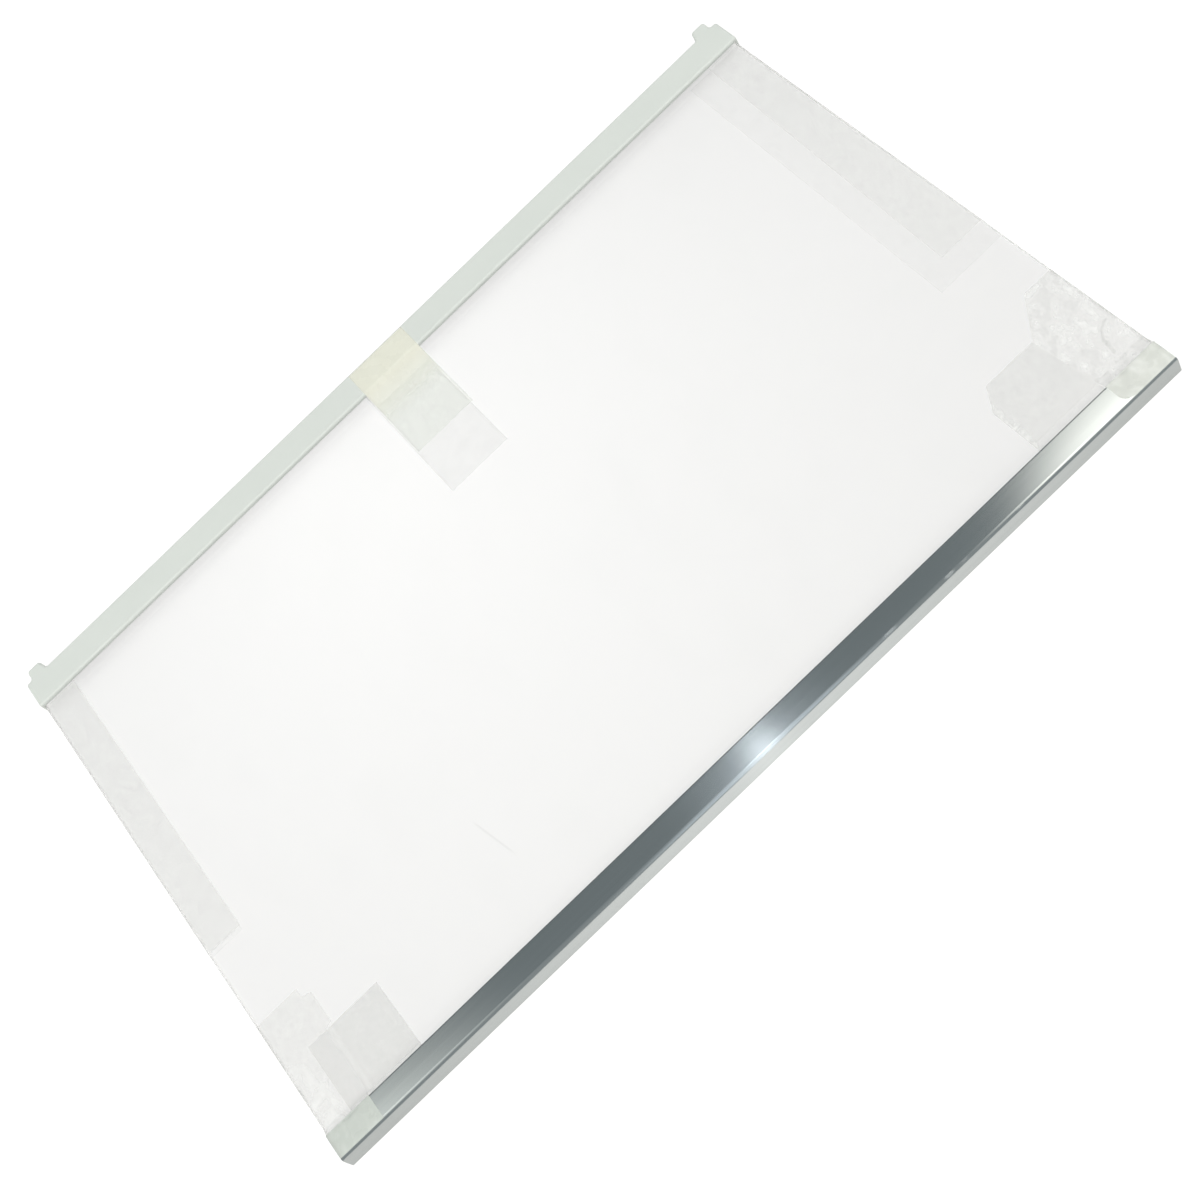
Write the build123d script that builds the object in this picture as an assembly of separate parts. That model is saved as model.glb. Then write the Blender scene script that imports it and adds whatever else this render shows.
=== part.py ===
from build123d import *
import os

# Fridge shelf: a clear glass pane, a brushed metal profile on its front edge and a
# moulded plastic trim with two lugs on its rear edge.
# Millimetres. X runs along the shelf, Y from front to rear, Z up.
# The origin is at the middle of the underside of the whole shelf.

# Glass pane
GLASS_WIDTH = 475.0
GLASS_DEPTH = 314.0
GLASS_THICKNESS = 4.0
GLASS_CORNER_RADIUS = 3.0
GLASS_ARRIS = 0.4  # ground bevel along every edge
UNDER_GLASS = 4.0  # height of the glass above the underside of both trims

# Fits between the glass and its trims
FACE_CLEARANCE = 0.15  # glass face to channel wall, bridged by the grip ribs
EDGE_CLEARANCE = 0.2  # glass edge to the bottom of a channel
SIDE_CLEARANCE = 0.1  # glass side to an end wall of the rear trim

# Front profile, one extruded section
FRONT_COVER = 2.0  # how far its top stands above the glass
FRONT_DEPTH = 13.9
FRONT_CROWN = 0.06  # rise of the barely rounded top
FRONT_WALL = 1.8
FRONT_NOSE_RADIUS = 2.0
FRONT_BACK_RADIUS = 1.0
FRONT_LIP = 1.4  # thickness of the lip below the glass
FRONT_LIP_DEPTH = 11.0
FRONT_TOE = 1.2  # thickness of the toe that the profile stands on
FRONT_TOE_DEPTH = 4.0
FRONT_SMALL_RADIUS = 0.5
FRONT_BEAD_WIDTH = 1.0  # grip bead that runs along each side of the channel
FRONT_BEAD_INSET = 0.3

# Rear trim, one moulding
REAR_COVER = 2.5  # how far its top stands above the glass
REAR_DEPTH = 17.5
REAR_WALL = 2.5
REAR_END_WALL = 1.4
REAR_LIP = 1.6  # thickness of the lip below the glass
REAR_LIP_DEPTH = 8.0  # set back under the glass, so that it can't be seen from above
REAR_CORNER_RADIUS = 1.6
REAR_EDGE_RADIUS = 1.4
GRIP_RIBS = 11  # ribs across the channel that press on the glass
GRIP_RIB_WIDTH = 1.2
GRIP_RIB_INSET = 1.0  # from the mouth of the channel
GRIP_END_INSET = 20.0  # from the side of the glass to the first rib

# Lugs that stand out behind the rear trim
LUG_WIDTH = 8.0  # at the tip
LUG_TAPER = 2.0  # extra width at the root, on the inner flank
LUG_REACH = 6.2
LUG_HEIGHT = 6.0
LUG_END_INSET = 3.9  # from the end of the trim to the outer flank

# Levels
glass_bottom = UNDER_GLASS
glass_top = glass_bottom + GLASS_THICKNESS
channel_bottom = glass_bottom - FACE_CLEARANCE
channel_top = glass_top + FACE_CLEARANCE
front_top = glass_top + FRONT_COVER
rear_top = glass_top + REAR_COVER

# Places along Y, with the box of the whole shelf centred on the origin
front_reach = GLASS_DEPTH / 2 + EDGE_CLEARANCE + FRONT_WALL
rear_reach = GLASS_DEPTH / 2 + EDGE_CLEARANCE + REAR_WALL
glass_y = (front_reach - rear_reach - LUG_REACH) / 2
front_face = glass_y - front_reach
rear_face = glass_y + rear_reach

rear_length = GLASS_WIDTH + 2 * (SIDE_CLEARANCE + REAR_END_WALL)


def nearest_vertices(shape, points):
    """The vertex of the shape that lies nearest to each point."""
    return [shape.vertices().sort_by_distance(point)[0] for point in points]


def block(x_size, y_range, z_range):
    """A box centred on X that spans the given ranges of Y and Z."""
    y_size = y_range[1] - y_range[0]
    z_size = z_range[1] - z_range[0]
    centre = Pos(0, sum(y_range) / 2, sum(z_range) / 2)
    return centre * Box(x_size, y_size, z_size)


def glass_panel():
    """Flat pane with rounded corners and ground edges."""
    plan = Pos(0, glass_y, glass_bottom) * RectangleRounded(GLASS_WIDTH, GLASS_DEPTH, GLASS_CORNER_RADIUS)
    pane = extrude(plan, GLASS_THICKNESS)
    return chamfer(pane.faces().filter_by(Axis.Z).edges(), GLASS_ARRIS)


def front_bead(y_back, z_range):
    """Section of a grip bead that ends a little in front of a channel's mouth."""
    y_centre = y_back - FRONT_BEAD_INSET - FRONT_BEAD_WIDTH / 2
    return Pos(y_centre, sum(z_range) / 2) * Rectangle(FRONT_BEAD_WIDTH, z_range[1] - z_range[0])


def front_section():
    """Section of the front profile, with Y and Z as its two axes."""
    wall_back = front_face + FRONT_WALL
    top_back = front_face + FRONT_DEPTH
    lip_back = front_face + FRONT_LIP_DEPTH
    toe_back = front_face + FRONT_TOE_DEPTH
    lip_bottom = channel_bottom - FRONT_LIP
    nose = (front_face, front_top)
    back_edge = (top_back, front_top)
    crown = (front_face + FRONT_DEPTH / 2, front_top + FRONT_CROWN)
    foot = (front_face, 0)
    under_corners = [
        back_edge,
        (top_back, channel_top),
        (wall_back, channel_top),
        (wall_back, channel_bottom),
        (lip_back, channel_bottom),
        (lip_back, lip_bottom),
        (wall_back, lip_bottom),
        (wall_back, FRONT_TOE),
        (toe_back, FRONT_TOE),
        (toe_back, 0),
        foot,
        nose,
    ]
    section = make_face(Curve() + [ThreePointArc(nose, crown, back_edge), Polyline(*under_corners)])
    section = fillet(nearest_vertices(section, [nose]), FRONT_NOSE_RADIUS)
    section = fillet(nearest_vertices(section, [back_edge]), FRONT_BACK_RADIUS)
    small_corners = [foot, (lip_back, lip_bottom), (wall_back, lip_bottom), (wall_back, FRONT_TOE)]
    section = fillet(nearest_vertices(section, small_corners), FRONT_SMALL_RADIUS)
    section += front_bead(top_back, (glass_top, channel_top))
    section += front_bead(lip_back, (channel_bottom, glass_bottom))
    return section


def front_trim():
    """Metal profile cut flush with the sides of the glass."""
    return extrude(Plane.YZ * front_section(), GLASS_WIDTH / 2, both=True)


def lug_plan(side):
    """Plan of one lug, with its root inside the trim; side is -1 at the left and 1 at the right."""
    outer = side * (rear_length / 2 - LUG_END_INSET)
    inner = outer - side * LUG_WIDTH
    root = inner - side * LUG_TAPER
    tip_y = rear_face + LUG_REACH
    root_y = rear_face - REAR_WALL
    corners = [(outer, root_y), (outer, tip_y), (inner, tip_y), (root, rear_face), (root, root_y)]
    return make_face(Polyline(*corners, close=True))


def rear_body():
    """Outside of the rear trim: a long block with rounded edges and the two lugs."""
    lug_bottom = rear_top - LUG_HEIGHT
    trim_plan = Pos(0, rear_face - REAR_DEPTH / 2) * Rectangle(rear_length, REAR_DEPTH)
    top_plan = trim_plan + lug_plan(-1) + lug_plan(1)
    trim_plan = fillet(trim_plan.vertices(), REAR_CORNER_RADIUS)
    top_plan = fillet(top_plan.vertices(), REAR_CORNER_RADIUS)
    body = extrude(trim_plan, lug_bottom)
    body += extrude(Pos(0, 0, lug_bottom) * top_plan, LUG_HEIGHT)
    top_edges = body.faces().sort_by(Axis.Z)[-1].outer_wire().edges()
    return fillet(top_edges, min(REAR_EDGE_RADIUS, 0.9 * REAR_CORNER_RADIUS))


def grip_ribs(y_range):
    """Ribs above and below the glass that fill the clearance of the rear channel."""
    span = GLASS_WIDTH - 2 * GRIP_END_INSET
    upper = block(GRIP_RIB_WIDTH, y_range, (glass_top, channel_top))
    lower = block(GRIP_RIB_WIDTH, y_range, (channel_bottom, glass_bottom))
    pitch = span / (GRIP_RIBS - 1)
    ribs = []
    for index in range(GRIP_RIBS):
        place = Pos(index * pitch - span / 2, 0, 0)
        ribs += [place * upper, place * lower]
    return ribs


def rear_trim():
    """Moulded channel over the rear edge of the glass, closed at both ends, with a rear skirt."""
    mouth = rear_face - REAR_DEPTH
    wall_front = rear_face - REAR_WALL
    lip_front = wall_front - REAR_LIP_DEPTH
    slot_length = GLASS_WIDTH + 2 * SIDE_CLEARANCE
    trim = rear_body()
    trim -= block(slot_length, (mouth - REAR_WALL, wall_front), (channel_bottom, channel_top))
    trim -= block(rear_length + REAR_WALL, (mouth - REAR_WALL, lip_front), (-REAR_WALL, channel_bottom))
    trim -= block(slot_length, (lip_front - REAR_WALL, wall_front), (-REAR_WALL, channel_bottom - REAR_LIP))
    trim += grip_ribs((lip_front + GRIP_RIB_INSET, wall_front))
    return trim


os.makedirs("parts", exist_ok=True)
export_step(glass_panel(), "parts/glass_panel.step")
export_step(front_trim(), "parts/front_trim.step")
export_step(rear_trim(), "parts/rear_trim.step")
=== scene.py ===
import math

import bmesh
import bpy
from mathutils import Matrix, Vector, noise


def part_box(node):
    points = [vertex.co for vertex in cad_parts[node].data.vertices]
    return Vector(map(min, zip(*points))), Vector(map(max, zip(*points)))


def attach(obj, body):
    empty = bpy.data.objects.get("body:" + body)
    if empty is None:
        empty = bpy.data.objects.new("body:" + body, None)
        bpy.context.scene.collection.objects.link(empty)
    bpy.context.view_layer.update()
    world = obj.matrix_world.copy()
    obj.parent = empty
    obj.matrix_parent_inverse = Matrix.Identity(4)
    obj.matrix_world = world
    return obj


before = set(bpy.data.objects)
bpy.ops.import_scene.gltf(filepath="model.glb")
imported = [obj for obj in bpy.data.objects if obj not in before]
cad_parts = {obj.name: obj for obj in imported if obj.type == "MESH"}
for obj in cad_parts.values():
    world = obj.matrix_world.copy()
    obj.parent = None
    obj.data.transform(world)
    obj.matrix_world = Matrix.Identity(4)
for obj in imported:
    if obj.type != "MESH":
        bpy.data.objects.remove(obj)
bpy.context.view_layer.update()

MM = 0.001

# Camera of the photograph: a perspective fit, in degrees, pixels and millimetres
IMAGE_PIXELS = 1200
FOCAL_PIXELS = 2039.1
SENSOR_WIDTH = 36.0
CAMERA_ELEVATION = 54.85
CAMERA_YAW = 0.455
CAMERA_ROLL = -44.24
CAMERA_DISTANCE = 903.2
CAMERA_TARGET = (-1.87, -47.85, 8.0)

# Levels and edges of the shelf, in millimetres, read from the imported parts
glass_low, glass_high = (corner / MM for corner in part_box("glass_panel"))
front_low, front_high = (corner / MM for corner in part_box("front_trim"))
rear_low, rear_high = (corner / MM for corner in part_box("rear_trim"))
GLASS_TOP = glass_high.z
GLASS_UNDER = glass_low.z
GLASS_SIDE = glass_high.x
METAL_TOP = front_high.z
METAL_BACK = front_high.y
METAL_FACE = front_low.y
TRIM_TOP = rear_high.z
TRIM_MOUTH = rear_low.y

# Forms inside the boxes of the two trims, in millimetres
METAL_LIP_BACK = METAL_FACE + 11.0  # rear edge of the lip below the glass
METAL_LIP_UNDER = GLASS_UNDER - 1.55
LUG_REACH = 6.2
TRIM_FACE = rear_high.y - LUG_REACH

# Colours of the three parts
METAL_DARK = (0.60, 0.63, 0.62)
METAL_LIGHT = (0.70, 0.73, 0.72)
PLASTIC_DARK = (0.70, 0.737, 0.70)
PLASTIC_LIGHT = (0.737, 0.772, 0.734)
GLASS_TINT = (1.0, 1.0, 1.0)
SMEAR_TINT = (0.985, 0.986, 0.985)
LAMP_RAY_TINT = (0.975, 0.975, 0.972, 1)
GROUND_ROUGHNESS = 0.85  # of the ground sides of the glass

# Light flecks on the nose of the front profile, lighter and rougher than the rest, in millimetres: place
# along X, half length and strength
NOSE_LIGHT_FLECKS = ((75.0, 4.5, 0.75), (109.0, 3.2, 0.95), (117.5, 3.0, 0.25), (149.0, 3.0, 0.35))
FLECK_LINE = METAL_FACE + 1.15
FLECK_HALF_WIDTH = 0.8
FLECK_CORE = 0.3  # share of a fleck that has its full strength
FLECK_COLOUR = (0.88, 0.9, 0.89)
FLECK_ROUGHNESS = 0.45

# Hairline mark on the glass, in millimetres
MARK_START = (-108.6, -83.0)
MARK_END = (-102.2, -113.5)
MARK_WIDTH = 1.3
MARK_TINT = (0.955, 0.957, 0.955)
MARK_ROUGHNESS = 0.1

# Transit tape, in millimetres
TAPE_THICKNESS = 0.06
TAPE_GAP = 0.03  # between a strip and what it lies on
TAPE_BEND = 0.6  # how far before a corner the strip starts to bend
TAPE_CELL = 1.2  # size of the mesh cells
BEND_CELLS = 4
TAPE_INSET = 0.2  # from the side of the glass to the outer edge of a front strip
TAPE_TINT = (0.735, 0.735, 0.725)
AIR_TINT = (0.93, 0.935, 0.925)  # where air is trapped below the film
FOLD_AND_SHADE_TINT = (0.42, 0.43, 0.41)  # darker tint where the film is folded, and painted shade along its edges and where it is pulled tight over a step

# Floor: its level in millimetres, its size and the places on it in metres
FLOOR_LEVEL = -0.15
FLOOR_HALF = 4.0
FLOOR_COLOUR = (0.385, 0.38, 0.375, 1)
FLOOR_IN_VIEW = 0.75  # glow for the camera
THROUGH_MIDDLE = (-0.045, 0.11)  # seen through the glass, the floor is lightest here
MIRRORED_MIDDLE = 0.004  # mirrored in the metal, it is lightest at this X
# From where to where the glow changes, and its strength at both
THROUGH_GLOW = (0.03, 0.35, 0.695, 0.535)
MIRRORED_GLOW = (0.0, 0.22, 0.575, 0.335)
MIRRORED_GLINT = (0.0, 0.025, 0.11, 0.0)

# Room that the metal shows: a colour for each region, and the X of the tube light overhead
ROOM_BACK = (0.165, 0.187, 0.198)
ROOM_MIDDLE = (0.24, 0.27, 0.285)
ROOM_FRONT = (0.30, 0.325, 0.335)
ROOM_SIDES = (0.81, 0.82, 0.81)
HALO_COLOUR = (0.66, 0.72, 0.78)
TUBE_COLOUR = (4.1, 4.35, 4.65)
RIGHT_LIGHT = (2.9, 2.84, 2.7)
LEFT_LIGHT = (1.75, 1.77, 1.71)
PLAIN_WHITE = (1.0, 1.0, 1.0)
HALO_X = -0.001
TUBE_X = 0.0025

# Lamps, in metres
LAMP_SIZE = (0.7, 1.0)
LAMP_COLOUR = (1.0, 0.965, 0.925)
LEFT_LAMP = (-1.15, -0.65, 1.0)
RIGHT_LAMP = (1.15, -0.65, 1.0)
LEFT_RADIANCE = 4.3
RIGHT_RADIANCE = 3.75


def add_node(tree, kind, inputs=None, **settings):
    """Adds a shader node; an input is a plain value or another node's output."""
    node = tree.nodes.new(kind)
    for key, value in settings.items():
        setattr(node, key, value)
    for key, value in (inputs or {}).items():
        if isinstance(value, bpy.types.NodeSocket):
            tree.links.new(value, node.inputs[key])
        else:
            node.inputs[key].default_value = value
    return node


def new_material(name):
    """An empty node material with its output node."""
    material = bpy.data.materials.new(name)
    material.use_nodes = True
    tree = material.node_tree
    tree.nodes.clear()
    return material, tree, add_node(tree, "ShaderNodeOutputMaterial")


def shelf_coords(tree, stretch=(1, 1, 1)):
    """Coordinates of the shelf in metres, scaled along each axis."""
    source = add_node(tree, "ShaderNodeTexCoord").outputs["Object"]
    return add_node(tree, "ShaderNodeMapping", {"Vector": source, "Scale": stretch}).outputs["Vector"]


def axes(tree, vector):
    """The outputs X, Y and Z of a vector."""
    return add_node(tree, "ShaderNodeSeparateXYZ", {"Vector": vector}).outputs


def noise_value(tree, coords, scale, detail=3.0, roughness=0.5):
    """Noise from 0 to 1; scale is in features per metre."""
    inputs = {"Vector": coords, "Scale": scale, "Detail": detail, "Roughness": roughness}
    return add_node(tree, "ShaderNodeTexNoise", inputs).outputs["Fac"]


def ramp(tree, value, low, high, to_low, to_high, smooth=False):
    """Maps a value from one range to another and holds it there."""
    inputs = {"Value": value, "From Min": low, "From Max": high, "To Min": to_low, "To Max": to_high}
    kind = "SMOOTHSTEP" if smooth else "LINEAR"
    return add_node(tree, "ShaderNodeMapRange", inputs, interpolation_type=kind).outputs["Result"]


def math_node(tree, operation, *values):
    """A Math node on outputs or plain numbers."""
    return add_node(tree, "ShaderNodeMath", dict(enumerate(values)), operation=operation).outputs[0]


def multiply(tree, first, second):
    """The product of two outputs or plain numbers."""
    return math_node(tree, "MULTIPLY", first, second)


def off_from(tree, value, place):
    """How far a value is from a place, to either side."""
    return math_node(tree, "ABSOLUTE", math_node(tree, "SUBTRACT", value, place))


def vector_math(tree, operation, first, second, output="Vector"):
    """A Vector Math node on outputs or plain vectors."""
    return add_node(tree, "ShaderNodeVectorMath", {0: first, 1: second}, operation=operation).outputs[output]


def mix_values(tree, factor, first, second):
    """A number between two numbers."""
    return add_node(tree, "ShaderNodeMix", {"Factor": factor, "A": first, "B": second}).outputs["Result"]


def mix_colours(tree, factor, first, second):
    """A colour between two colours, each plain or another node's output."""
    node = add_node(tree, "ShaderNodeMix", {"Factor": factor}, data_type="RGBA")
    for socket, colour in zip((node.inputs[6], node.inputs[7]), (first, second)):
        if isinstance(colour, bpy.types.NodeSocket):
            tree.links.new(colour, socket)
        else:
            socket.default_value = (*colour, 1)
    return node.outputs[2]


def bump(tree, height, distance, strength):
    """A normal from a height of 0 to 1; distance is in metres."""
    inputs = {"Height": height, "Distance": distance, "Strength": strength}
    return add_node(tree, "ShaderNodeBump", inputs).outputs["Normal"]


def nose_light_flecks(tree):
    """The strength of the short light flecks along the nose of the front profile, 0 elsewhere."""
    place = axes(tree, shelf_coords(tree))
    off_line = off_from(tree, place["Y"], FLECK_LINE * MM)
    near = ramp(tree, off_line, FLECK_CORE * FLECK_HALF_WIDTH * MM, FLECK_HALF_WIDTH * MM, 1, 0)
    flecked = 0.0
    for middle, half, strength in NOSE_LIGHT_FLECKS:
        off = off_from(tree, place["X"], middle * MM)
        fleck = ramp(tree, off, FLECK_CORE * half * MM, half * MM, strength, 0)
        flecked = math_node(tree, "MAXIMUM", flecked, fleck)
    return multiply(tree, near, flecked)


def brushed_metal():
    """Aluminium brushed along X: streaks in its colour, gloss and relief, and a stretched highlight."""
    material, tree, out = new_material("brushed_metal_look")
    light_flecks = nose_light_flecks(tree)
    fine = noise_value(tree, shelf_coords(tree, (14, 2600, 2600)), scale=1.0, detail=4.0)
    broad = noise_value(tree, shelf_coords(tree, (6, 420, 420)), scale=1.0, detail=2.0)
    streaks = math_node(tree, "MULTIPLY_ADD", broad, 0.4, multiply(tree, fine, 0.6))
    normal = add_node(tree, "ShaderNodeNewGeometry").outputs["Normal"]
    brushed = mix_colours(tree, streaks, METAL_DARK, METAL_LIGHT)
    gloss = ramp(tree, streaks, 0.2, 0.8, 0.12, 0.16)
    shader = add_node(tree, "ShaderNodeBsdfPrincipled", {
        "Base Color": mix_colours(tree, light_flecks, brushed, FLECK_COLOUR),
        "Metallic": 1.0,
        "Roughness": mix_values(tree, light_flecks, gloss, FLECK_ROUGHNESS),
        "Anisotropic": 1.0,
        "Tangent": vector_math(tree, "CROSS_PRODUCT", normal, (1, 0, 0)),
        "Normal": bump(tree, fine, distance=0.006 * MM, strength=0.4),
    })
    tree.links.new(shader.outputs["BSDF"], out.inputs["Surface"])
    return material


def pale_plastic():
    """Pale green-grey moulding with a fine satin grain and a faint cloudiness."""
    material, tree, out = new_material("pale_plastic_look")
    coords = shelf_coords(tree)
    grain = noise_value(tree, coords, scale=3600.0)
    cloud = noise_value(tree, coords, scale=45.0)
    shader = add_node(tree, "ShaderNodeBsdfPrincipled", {
        "Base Color": mix_colours(tree, cloud, PLASTIC_DARK, PLASTIC_LIGHT),
        "Roughness": ramp(tree, grain, 0.2, 0.8, 0.5, 0.64),
        "Normal": bump(tree, grain, distance=0.02 * MM, strength=0.35),
    })
    tree.links.new(shader.outputs["BSDF"], out.inputs["Surface"])
    return material


def hairline(tree, coords):
    """1 on the hairline mark on the glass, fading at its ends and edges, 0 elsewhere."""
    start, end = Vector((*MARK_START, 0)), Vector((*MARK_END, 0))
    along = (end - start).normalized()
    across = Vector((-along.y, along.x, 0))
    place = vector_math(tree, "SUBTRACT", coords, start * MM)
    far = vector_math(tree, "DOT_PRODUCT", place, along, "Value")
    off = vector_math(tree, "DOT_PRODUCT", place, across, "Value")
    half = (end - start).length * MM / 2
    inside = ramp(tree, off_from(tree, far, half), 0.6 * half, half, 1, 0)
    off_line = math_node(tree, "ABSOLUTE", off)
    near = ramp(tree, off_line, 0.2 * MARK_WIDTH * MM, 0.5 * MARK_WIDTH * MM, 1, 0)
    return multiply(tree, inside, near)


def clear_glass():
    """Clear float glass with ground sides, faint smears and a hairline mark; lamps shine through it."""
    material, tree, out = new_material("clear_glass_look")
    coords = shelf_coords(tree)
    off_middle = math_node(tree, "ABSOLUTE", axes(tree, coords)["X"])
    ground = ramp(tree, off_middle, (GLASS_SIDE - 0.5) * MM, (GLASS_SIDE - 0.3) * MM, 0, 1)
    smear = noise_value(tree, shelf_coords(tree, (1, 0.6, 1)), scale=35.0, detail=4.0)
    colour = mix_colours(tree, ramp(tree, smear, 0.5, 0.8, 0.0, 1.0), GLASS_TINT, SMEAR_TINT)
    mark = hairline(tree, coords)
    rough = math_node(tree, "MULTIPLY_ADD", mark, MARK_ROUGHNESS, multiply(tree, ground, GROUND_ROUGHNESS))
    wave = noise_value(tree, coords, scale=14.0, detail=1.0)
    shader = add_node(tree, "ShaderNodeBsdfPrincipled", {
        "Base Color": mix_colours(tree, mark, colour, MARK_TINT),
        "Roughness": rough,
        "IOR": 1.5,
        "Transmission Weight": 1.0,
        "Normal": bump(tree, wave, distance=0.02 * MM, strength=0.3),
    })
    path = add_node(tree, "ShaderNodeLightPath").outputs
    lamp_ray = math_node(tree, "MAXIMUM", path["Is Shadow Ray"], path["Is Diffuse Ray"])
    clear = add_node(tree, "ShaderNodeBsdfTransparent", {"Color": LAMP_RAY_TINT})
    mixed = add_node(tree, "ShaderNodeMixShader", {0: lamp_ray, 1: shader.outputs[0], 2: clear.outputs[0]})
    tree.links.new(mixed.outputs[0], out.inputs["Surface"])
    return material


def clear_film(name, tint, haze, under_haze, covered=None, only_above=False):
    """Clear tape: faintly hazy, paler over trapped air, darker where it is folded and where shade is painted
    along its edges and creases.

    covered holds the places along Y from where to where the film turns to another haze and tint, and
    these two; only_above leaves the part below the glass out of that.
    """
    material, tree, out = new_material(name)
    coords = shelf_coords(tree)
    parts = axes(tree, coords)
    cloud = noise_value(tree, coords, scale=110.0)
    grain = noise_value(tree, coords, scale=1500.0, detail=2.0)
    tone = add_node(tree, "ShaderNodeAttribute", attribute_name="tone").outputs["Fac"]
    air = ramp(tree, tone, 0.5, 1.0, 0.0, 1.0)
    # Low tone darkens the film: where it is folded, and as painted shade along edges and creases
    fold_and_shade = ramp(tree, tone, 0.5, 0.0, 0.0, 1.0)
    upper = ramp(tree, parts["Z"], (GLASS_UNDER + 0.5) * MM, (GLASS_TOP - 0.5) * MM, 0.0, 1.0)
    alpha = mix_values(tree, upper, under_haze, haze)
    colour = mix_colours(tree, upper, TAPE_TINT, tint)
    if covered:
        start, end, covered_haze, covered_tint = covered
        over = ramp(tree, parts["Y"], start * MM, end * MM, 0.0, 1.0)
        if only_above:
            over = multiply(tree, over, upper)
        alpha = mix_values(tree, over, alpha, covered_haze)
        colour = mix_colours(tree, over, colour, covered_tint)
    colour = mix_colours(tree, air, colour, AIR_TINT)
    colour = mix_colours(tree, fold_and_shade, colour, FOLD_AND_SHADE_TINT)
    alpha = multiply(tree, alpha, ramp(tree, cloud, 0.25, 0.75, 0.96, 1.04))
    alpha = math_node(tree, "MULTIPLY_ADD", math_node(tree, "ADD", air, fold_and_shade), 0.25, alpha)
    shader = add_node(tree, "ShaderNodeBsdfPrincipled", {
        "Base Color": colour,
        "Roughness": ramp(tree, cloud, 0.3, 0.7, 0.22, 0.34),
        "IOR": 1.47,
        "Alpha": alpha,
        "Normal": bump(tree, grain, distance=0.01 * MM, strength=0.15),
    })
    tree.links.new(shader.outputs["BSDF"], out.inputs["Surface"])
    return material


def white_floor():
    """Matt floor that keeps the shelf's shadow and reads as white to the camera.

    It glows a little less where it is seen through the glass or mirrored in the metal.
    """
    material, tree, out = new_material("white_floor")
    path = add_node(tree, "ShaderNodeLightPath").outputs
    place = add_node(tree, "ShaderNodeTexCoord").outputs["Object"]
    far = vector_math(tree, "DISTANCE", place, (*THROUGH_MIDDLE, FLOOR_LEVEL * MM), "Value")
    through = multiply(tree, path["Is Transmission Ray"], ramp(tree, far, *THROUGH_GLOW))
    aside = off_from(tree, axes(tree, place)["X"], MIRRORED_MIDDLE)
    glint = ramp(tree, aside, *MIRRORED_GLINT, smooth=True)
    shine = math_node(tree, "ADD", ramp(tree, aside, *MIRRORED_GLOW), glint)
    mirrored = math_node(tree, "SUBTRACT", path["Is Glossy Ray"], path["Is Transmission Ray"])
    glow = math_node(tree, "MAXIMUM", through, multiply(tree, mirrored, shine))
    glow = math_node(tree, "MULTIPLY_ADD", path["Is Camera Ray"], FLOOR_IN_VIEW, glow)
    matt = add_node(tree, "ShaderNodeBsdfDiffuse", {"Color": FLOOR_COLOUR})
    white = add_node(tree, "ShaderNodeEmission", {"Strength": glow})
    both = add_node(tree, "ShaderNodeAddShader", {0: matt.outputs[0], 1: white.outputs[0]})
    tree.links.new(both.outputs[0], out.inputs["Surface"])
    return material


def dress(node, material):
    """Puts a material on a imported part."""
    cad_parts[node].material_slots[0].material = material


def divided(start, end, cells):
    """The points that divide a straight run, without its start."""
    return [start.lerp(end, step / cells) for step in range(1, cells + 1)]


def bent_line(corners, cells):
    """Points of a line with rounded corners; cells holds the number of divisions of each run."""
    points = [corners[0]]
    start = corners[0]
    for before, corner, after, count in zip(corners, corners[1:], corners[2:], cells):
        cut = min(TAPE_BEND, 0.45 * (corner - before).length, 0.45 * (after - corner).length)
        arrive = corner + cut * (before - corner).normalized()
        leave = corner + cut * (after - corner).normalized()
        points += divided(start, arrive, count)
        for step in range(1, BEND_CELLS + 1):
            share = step / BEND_CELLS
            points.append(arrive.lerp(corner, share).lerp(corner.lerp(leave, share), share))
        start = leave
    return points + divided(start, corners[-1], cells[-1])


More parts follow.
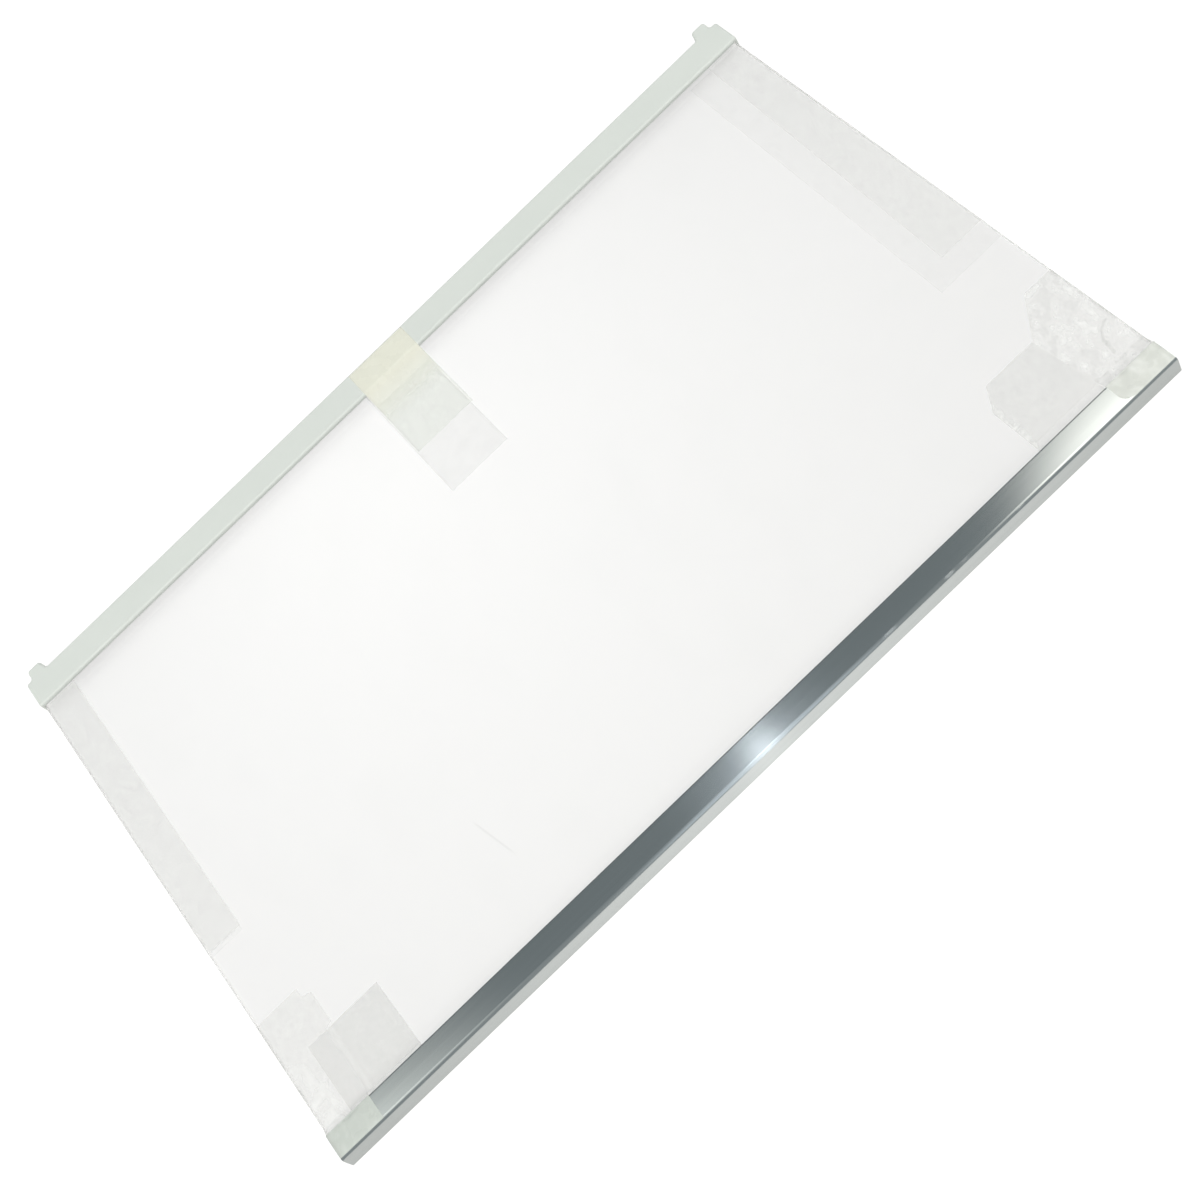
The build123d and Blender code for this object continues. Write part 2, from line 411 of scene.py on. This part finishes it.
def make_film(name, along, centre, section, edges, surface, material, cell=TAPE_CELL):
    """A strip of film as a closed thin mesh that is bent like its section and lifted by its surface.

    along is "X" or "Y", the way in which the section is carried. section gives the section's corners
    at a place along that way, edges the two ends of the carry at a point of the section at the centre,
    and surface the height that the film stands off at a point and its tone there.
    """
    middle = section(centre)
    cells = [max(1, math.ceil((b - a).length / cell)) for a, b in zip(middle, middle[1:])]
    spans = [edges(*point) for point in bent_line(middle, cells)]
    steps = max(2, math.ceil(max(high - low for low, high in spans) / cell))
    last = len(spans) - 1
    mesh = bmesh.new()
    tone_layer = mesh.verts.layers.float.new("tone")
    lower, upper = [], []
    for index, (low, high) in enumerate(spans):
        lower.append([])
        upper.append([])
        for step in range(steps + 1):
            carry = low + (high - low) * step / steps
            line = bent_line(section(carry), cells)
            slope = (line[min(index + 1, last)] - line[max(index - 1, 0)]).normalized()
            outward = Vector((-slope.y, slope.x))
            point = line[index]
            place = (carry, point.x, point.y) if along == "X" else (point.x, carry, point.y)
            lift, tone = surface(*place)
            for rows, height in ((lower, TAPE_GAP + lift), (upper, TAPE_GAP + TAPE_THICKNESS + lift)):
                spot = point + height * outward
                place = (carry, spot.x, spot.y) if along == "X" else (spot.x, carry, spot.y)
                vertex = mesh.verts.new(Vector(place) * MM)
                vertex[tone_layer] = min(1.0, max(0.0, 0.5 + 0.5 * tone))
                rows[-1].append(vertex)
    for rows in (lower, upper):
        for one, two in zip(rows, rows[1:]):
            for a, b, c, d in zip(one, one[1:], two[1:], two):
                mesh.faces.new((a, b, c, d)).smooth = True
    rims = []
    for rows in (lower, upper):
        rim = rows[0][:-1] + [row[-1] for row in rows[:-1]]
        rim += rows[-1][:0:-1] + [row[0] for row in rows[:0:-1]]
        rims.append(rim)
    for index in range(len(rims[0])):
        after = (index + 1) % len(rims[0])
        mesh.faces.new((rims[0][index], rims[0][after], rims[1][after], rims[1][index]))
        for rim in rims:
            mesh.edges.get((rim[index], rim[after])).smooth = False
    bmesh.ops.recalc_face_normals(mesh, faces=mesh.faces)
    data = bpy.data.meshes.new(name)
    mesh.to_mesh(data)
    mesh.free()
    data.materials.append(material)
    piece = bpy.data.objects.new(name, data)
    bpy.context.scene.collection.objects.link(piece)
    piece.visible_shadow = False  # clear film lets the light through
    piece.visible_diffuse = False
    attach(piece, "root")


def line_of(*corners):
    """The corners of a section as vectors."""
    return [Vector(corner) for corner in corners]


def blend(value, low, high, at_low, at_high):
    """Straight-line change between two places, held beyond them."""
    share = min(1.0, max(0.0, (value - low) / (high - low)))
    return at_low + (at_high - at_low) * share


def from_under_to_top(z, at_under, at_top):
    """Straight-line change from the underside of the glass to its top."""
    return blend(z, GLASS_UNDER, GLASS_TOP, at_under, at_top)


def streaks(x, y, width, length, seed):
    """Uneven patches of about this width and length along Y, from about -1 to 1."""
    drift = 0.8 * noise.noise(Vector((x / 11, y / 11, seed + 5)))
    return 1.7 * noise.noise(Vector((x / width + drift, y / length + drift, seed)))


def crumple(x, y, size, seed):
    """Uneven patches of about this size with finer ones in them, from about -1 to 1."""
    coarse = streaks(x, y, size, 1.4 * size, seed)
    fine = streaks(x, y, 0.45 * size, 0.6 * size, seed + 2)
    return 0.8 * coarse + 0.25 * fine


def slack(x, y, seed):
    """The slight unevenness of a film that is stuck down flat."""
    return 0.02 * (1 + noise.noise(Vector((x / 9, y / 9, seed))))


def ragged(x, seed):
    """How far a torn or cut end wanders."""
    return 0.3 * noise.noise(Vector((x / 2, seed, 0.0)))


def distance_to(x, y, corners):
    """Distance from a point to a line of corners."""
    spot = Vector((x, y))
    distances = []
    for start, end in zip(line_of(*corners), line_of(*corners[1:])):
        along = end - start
        share = min(1.0, max(0.0, (spot - start).dot(along) / along.length_squared))
        distances.append((spot - start - share * along).length)
    return min(distances)


def rear_tape():
    """Strip over the rear trim: from the glass, over the trim, under it and back below the glass."""
    top_end, under_end = 89.0, 58.5
    leaves_glass, meets_glass = TRIM_MOUTH - 10.0, 128.0
    mouth_edge = ((TRIM_MOUTH + 0.85, TRIM_TOP - 0.02), (TRIM_MOUTH + 1.5, TRIM_TOP + 0.02))
    rounding = 1.2  # of the trim's upper rear edge
    skirt = 2.6
    left_under, left_top = -16.7, -15.7
    right_under, right_top = 19.2, 20.4

    def section(x):
        return line_of(
            (top_end + ragged(x, 0.3), GLASS_TOP),
            (leaves_glass, GLASS_TOP),
            *mouth_edge,
            (TRIM_FACE - rounding, TRIM_TOP),
            (TRIM_FACE, TRIM_TOP - rounding),
            (TRIM_FACE, 0.0),
            (TRIM_FACE - skirt, 0.0),
            (meets_glass, GLASS_UNDER),
            (under_end + ragged(x, 7.3), GLASS_UNDER),
        )

    def edges(y, z):
        return from_under_to_top(z, left_under, left_top), from_under_to_top(z, right_under, right_top)

    def surface(x, y, z):
        low, high = edges(y, z)
        # rim: painted shade along both edges of the strip
        rim = blend(min(x - low, high - x), 0.3, 1.5, 1.0, 0.0)
        return slack(x, y, 1.0), 0.04 * streaks(x, y, width=6.0, length=9.0, seed=2.2) - 0.18 * rim

    covered = (112.0, 137.0, 0.6, (0.84, 0.835, 0.715))
    material = clear_film("rear_tape_look", (0.70, 0.75, 0.66), 0.17, 0.12, covered, only_above=True)
    make_film("transit_tape_rear", "X", 0.0, section, edges, surface, material)


def side_tapes():
    """Strips folded round the two bare sides of the glass."""
    centre = 50.0
    rear_end = TRIM_MOUTH - 0.4
    right_front_under, right_front_top = -54.5, -42.5
    left_front_under, left_front_top = -40.5, -39.5
    left_under, left_top = -219.0, -218.0
    # Slanting inner edges of the right strip: from where to where along Y, and the X at both
    right_under = (-55.0, 135.0, 201.0, 205.0)
    right_top = (-43.0, 135.0, 213.0, 218.5)

    def right_section(y):
        return line_of(
            (blend(y, *right_top), GLASS_TOP),
            (GLASS_SIDE, GLASS_TOP),
            (GLASS_SIDE, GLASS_UNDER),
            (blend(y, *right_under), GLASS_UNDER),
        )

    def left_section(y):
        return line_of(
            (left_under, GLASS_UNDER),
            (-GLASS_SIDE, GLASS_UNDER),
            (-GLASS_SIDE, GLASS_TOP),
            (left_top, GLASS_TOP),
        )

    def right_edges(x, z):
        return from_under_to_top(z, right_front_under, right_front_top), rear_end

    def left_edges(x, z):
        return from_under_to_top(z, left_front_under, left_front_top), rear_end

    def surface(x, y, z):
        return slack(x, y, 2.0), 0.05 * crumple(x, y, size=3.0, seed=4.4)

    right = clear_film("right_tape_look", TAPE_TINT, 0.18, 0.07)
    left = clear_film("left_tape_look", TAPE_TINT, 0.25, 0.05)
    make_film("transit_tape_right", "Y", centre, right_section, right_edges, surface, right)
    make_film("transit_tape_left", "Y", centre, left_section, left_edges, surface, left)


def front_section(top_end):
    """Section of a strip that leads from the nose of the front profile over its top down onto the glass."""
    nose_start = (METAL_FACE + 1.2, METAL_TOP - 0.16)
    nose_end = (METAL_FACE + 2.2, METAL_TOP - 0.03)
    crown = (METAL_BACK - 6.9, METAL_TOP)
    back_edge = (METAL_BACK - 0.4, METAL_TOP - 0.1)
    meets_glass = (METAL_BACK + 3.6, GLASS_TOP)
    return line_of(nose_start, nose_end, crown, back_edge, meets_glass, (top_end, GLASS_TOP))


def over_metal(haze, tint):
    """Where a front strip lies on the metal, with its haze and tint there."""
    return METAL_BACK + 0.4, METAL_BACK - 0.4, haze, tint


def front_left_tape():
    """Strip over the left end of the front profile, with trapped air beside the side of the glass."""
    centre, top_end = -225.0, -85.0
    outer = -GLASS_SIDE + TAPE_INSET
    front_inner, layer_inner, rear_inner = -212.8, -208.6, -213.2  # a second layer stands out between
    layer_front, layer_middle, layer_rear = -110.0, -100.0, -91.0
    air_inner, air_rear = (-227.5, -223.5), (-114.0, -109.0)  # where the trapped air fades out
    rim_range = (-237.2, -235.4)

    def section(x):
        return front_section(top_end + ragged(x, 2.6))

    def edges(y, z):
        if y < layer_middle:
            return outer, blend(y, layer_front, layer_front + 1.0, front_inner, layer_inner)
        return outer, blend(y, layer_rear, layer_rear + 1.0, layer_inner, rear_inner)

    def surface(x, y, z):
        airy = blend(x, *air_inner, 1.0, 0.0) * blend(y, *air_rear, 1.0, 0.0) * (y > METAL_BACK)
        air = airy * max(0.0, 0.35 + 0.5 * streaks(x, y, width=4.5, length=6.0, seed=8.7))
        # rim: painted shade along the side of the glass, under the strip's outer edge
        rim = blend(x, *rim_range, 1.0, 0.0)
        tone = 0.8 * air - 0.5 * rim + 0.1 * crumple(x, y, size=2.5, seed=6.1)
        return slack(x, y, 3.0) + 0.03 * air, tone

    covered = over_metal(0.78, (0.59, 0.63, 0.59))
    material = clear_film("front_left_tape_look", TAPE_TINT, 0.25, 0.25, covered)
    make_film("transit_tape_front_left", "X", centre, section, edges, surface, material, cell=0.8)


def front_right_tape():
    """Crumpled strip over the right end of the front profile, with a torn corner."""
    centre, top_end = 230.0, -86.6
    slant_from, torn_from = -145.0, -107.5
    front_inner, torn_inner, end_inner = 210.0, 207.0, 221.5
    corner_radius = 5.0
    corner_end = METAL_FACE + 1.6 + corner_radius
    fold_line = [(224.7, -138.5), (226.0, -130.5), (228.6, -126.5), (233.0, -124.1)]
    pale_middle = (229.0, -127.0)
    # Painted shadow along the crease where the strip bridges from the metal onto the glass: its place along
    # Y and its width
    crease_line, crease_width = -142.9, 0.9
    rim_range = (235.4, 237.2)

    def section(x):
        return front_section(top_end + ragged(x, 4.1))

    def edges(y, z):
        inner = blend(y, slant_from, torn_from, front_inner, torn_inner)
        if y > torn_from:
            inner = blend(y, torn_from, top_end, torn_inner, end_inner)
        if y < corner_end:
            into_corner = max(0.0, min(corner_radius, corner_end - y))
            inner += corner_radius - math.sqrt(corner_radius ** 2 - into_corner ** 2)
        return inner, GLASS_SIDE - TAPE_INSET

    def surface(x, y, z):
        near = distance_to(x, y, fold_line)
        calm = blend(near, 1.0, 3.0, 0.3, 1.0) * (1.0 if y > METAL_BACK else 0.45)
        wave = crumple(x, y, size=3.4, seed=2.3) * calm
        pale = blend(abs(x - pale_middle[0]), 3.0, 9.0, 0.2, 0.0)
        pale *= blend(abs(y - pale_middle[1]), 12.0, 18.0, 1.0, 0.0)
        # rim: painted shade along the side of the glass, under the strip's outer edge
        rim = blend(x, *rim_range, 0.0, 1.0)
        # painted shadow along that crease
        crease_shadow = math.exp(-((y - crease_line) / crease_width) ** 2)
        # painted shade along the fold line, which is also lifted a little
        fold_and_shade = blend(near, 0.4, 1.5, 1.0, 0.0)
        tone = max(-0.17, 0.04 + 0.65 * wave) + pale - 0.5 * rim - 0.3 * crease_shadow - 0.7 * fold_and_shade
        return slack(x, y, 4.0) + 0.02 * max(0.0, wave) + 0.05 * fold_and_shade, tone

    covered = over_metal(0.78, (0.725, 0.745, 0.70))
    material = clear_film("front_right_tape_look", TAPE_TINT, 0.2, 0.2, covered)
    make_film("transit_tape_front_right", "X", centre, section, edges, surface, material, cell=0.7)


def under_tapes():
    """Ends of the front strips below the glass, stuck to the lip of the front profile."""
    left_leaves, right_leaves = -145.0, -142.3  # where they leave the glass for the lip
    left_centre, right_centre = -204.0, 195.0
    left_outer, left_inner = -224.0, -183.5
    left_rear_end = -109.0
    right_inner = 173.2
    right_outer = (-145.0, -107.5, 210.8, 207.8)  # from where to where along Y, and the X at both
    cut_corner = (right_inner, 180.4, -117.5, -105.4)  # from where to where along X, and the Y at both
    bubbles_range = (174.8, 176.8)
    stripe_middle = -211.3

    def section(rear_end, leaves):
        return line_of(
            (rear_end, GLASS_UNDER),
            (leaves, GLASS_UNDER),
            (METAL_LIP_BACK - 0.6, METAL_LIP_UNDER),
            (METAL_LIP_BACK - 6.0, METAL_LIP_UNDER),
        )

    def left_section(x):
        return section(left_rear_end + ragged(x, 5.2), left_leaves)

    def right_section(x):
        return section(blend(x, *cut_corner) + ragged(x, 6.3), right_leaves)

    def left_edges(y, z):
        return left_outer, left_inner

    def right_edges(y, z):
        return right_inner, blend(y, *right_outer)

    def left_surface(x, y, z):
        stripe = blend(abs(x - stripe_middle), 0.8, 1.6, 1.0, 0.0)
        return slack(x, y, 5.0), 0.35 * stripe + 0.08 * crumple(x, y, size=3.0, seed=3.1)

    def right_surface(x, y, z):
        airy = blend(x, *bubbles_range, 1.0, 0.0)
        air = airy * max(0.0, 0.55 + streaks(x, y, width=3.0, length=2.4, seed=8.3))
        return slack(x, y, 6.0) + 0.03 * air, 0.9 * air + 0.08 * crumple(x, y, size=3.0, seed=3.9)

    left_covered = (left_leaves + 0.4, left_leaves - 0.4, 0.2, TAPE_TINT)
    right_covered = (right_leaves + 0.4, right_leaves - 0.4, 0.15, TAPE_TINT)
    left = clear_film("under_left_tape_look", TAPE_TINT, 0.34, 0.34, left_covered)
    right = clear_film("under_right_tape_look", TAPE_TINT, 0.25, 0.25, right_covered)
    make_film("transit_tape_under_left", "X", left_centre, left_section, left_edges, left_surface, left)
    make_film(
        "transit_tape_under_right", "X", right_centre,
        right_section, right_edges, right_surface, right, cell=0.9,
    )


def make_floor():
    """A large pale floor just under the shelf."""
    half = FLOOR_HALF
    level = FLOOR_LEVEL * MM
    mesh = bpy.data.meshes.new("floor")
    corners = [(-half, -half, level), (half, -half, level), (half, half, level), (-half, half, level)]
    mesh.from_pydata(corners, [], [(0, 1, 2, 3)])
    floor = bpy.data.objects.new("floor", mesh)
    bpy.context.scene.collection.objects.link(floor)
    mesh.materials.append(white_floor())


def make_world():
    """A dim bluish room with light sides and lights overhead, for the metal to show.

    Directions are unit vectors; the camera itself sees plain white.
    """
    world = bpy.data.worlds.new("room")
    world.use_nodes = True
    tree = world.node_tree
    tree.nodes.clear()
    parts = axes(tree, add_node(tree, "ShaderNodeTexCoord").outputs["Generated"])
    x, y, z = parts["X"], parts["Y"], parts["Z"]

    # Room
    sides = ramp(tree, math_node(tree, "ABSOLUTE", x), 0.35, 0.7, 0, 1, smooth=True)
    colour = mix_colours(tree, ramp(tree, y, 0.56, 0.4, 0, 1), ROOM_BACK, ROOM_MIDDLE)
    colour = mix_colours(tree, ramp(tree, y, 0.35, -0.1, 0, 1), colour, ROOM_FRONT)
    colour = mix_colours(tree, sides, colour, ROOM_SIDES)

    # Tube light overhead, with its halo
    above = ramp(tree, y, 0.44, 0.5, 1, 0, smooth=True)
    steep = multiply(tree, above, ramp(tree, y, 0.0, 0.35, 0.5, 1.0))
    halo_width = ramp(tree, y, -0.5, 0.45, 0.1, 0.048)
    halo_share = math_node(tree, "DIVIDE", off_from(tree, x, HALO_X), halo_width)
    halo = multiply(tree, ramp(tree, halo_share, 0.1, 1.1, 1, 0, smooth=True), above)
    halo = multiply(tree, halo, ramp(tree, z, 0.1, 0.5, 0, 1, smooth=True))
    tube = ramp(tree, off_from(tree, x, TUBE_X), 0.0015, 0.01, 1, 0, smooth=True)
    colour = mix_colours(tree, halo, colour, HALO_COLOUR)
    colour = mix_colours(tree, multiply(tree, tube, steep), colour, TUBE_COLOUR)

    # Broad lights overhead at the right and at the left
    overhead = multiply(tree, ramp(tree, y, -0.45, -0.15, 0, 1, smooth=True), steep)
    overhead = multiply(tree, overhead, ramp(tree, z, 0.6, 0.8, 0, 1, smooth=True))
    right_edge = math_node(tree, "SUBTRACT", x, ramp(tree, y, 0.2, 0.6, 0.005, 0.04))
    right = ramp(tree, right_edge, 0.134, 0.205, 0, 1, smooth=True)
    right = multiply(tree, right, ramp(tree, x, 0.32, 0.4, 1, 0))
    left_edge = math_node(tree, "ADD", x, ramp(tree, y, 0.2, 0.6, -0.01, 0.02))
    left = ramp(tree, left_edge, -0.29, -0.15, 1, 0, smooth=True)
    colour = mix_colours(tree, multiply(tree, right, overhead), colour, RIGHT_LIGHT)
    colour = mix_colours(tree, multiply(tree, left, overhead), colour, LEFT_LIGHT)

    camera_ray = add_node(tree, "ShaderNodeLightPath").outputs["Is Camera Ray"]
    colour = mix_colours(tree, camera_ray, colour, PLAIN_WHITE)
    glow = add_node(tree, "ShaderNodeBackground", {"Color": colour})
    out = add_node(tree, "ShaderNodeOutputWorld")
    tree.links.new(glow.outputs[0], out.inputs["Surface"])
    bpy.context.scene.world = world


def make_lamp(name, place, radiance):
    """A rectangular lamp aimed at the shelf; radiance is what a white card right at it would show."""
    data = bpy.data.lights.new(name, "AREA")
    data.shape = "RECTANGLE"
    data.size, data.size_y = LAMP_SIZE
    data.energy = radiance * math.pi * LAMP_SIZE[0] * LAMP_SIZE[1]
    data.color = LAMP_COLOUR
    lamp = bpy.data.objects.new(name, data)
    bpy.context.scene.collection.objects.link(lamp)
    lamp.location = place
    lamp.rotation_euler = (-Vector(place)).to_track_quat("-Z", "Y").to_euler()


def make_camera():
    """The photograph's camera, with its roll."""
    elevation, yaw, roll = (math.radians(a) for a in (CAMERA_ELEVATION, CAMERA_YAW, CAMERA_ROLL))
    back = Vector((
        math.sin(yaw) * math.cos(elevation),
        -math.cos(yaw) * math.cos(elevation),
        math.sin(elevation),
    ))
    level_x = (-back).cross(Vector((0, 0, 1))).normalized()
    level_y = back.cross(level_x)
    right = math.cos(roll) * level_x + math.sin(roll) * level_y
    up = math.cos(roll) * level_y - math.sin(roll) * level_x
    place = (Vector(CAMERA_TARGET) + CAMERA_DISTANCE * back) * MM
    data = bpy.data.cameras.new("camera")
    data.sensor_width = SENSOR_WIDTH
    data.lens = FOCAL_PIXELS / IMAGE_PIXELS * SENSOR_WIDTH
    camera = bpy.data.objects.new("camera", data)
    bpy.context.scene.collection.objects.link(camera)
    camera.matrix_world = Matrix.Translation(place) @ Matrix((right, up, back)).transposed().to_4x4()
    bpy.context.scene.camera = camera


dress("front_trim", brushed_metal())
dress("rear_trim", pale_plastic())
dress("glass_panel", clear_glass())

rear_tape()
side_tapes()
front_left_tape()
front_right_tape()
under_tapes()

make_floor()
make_world()
make_lamp("left_softbox", LEFT_LAMP, LEFT_RADIANCE)
make_lamp("right_softbox", RIGHT_LAMP, RIGHT_RADIANCE)
make_camera()

bpy.context.scene.view_settings.view_transform = "Standard"
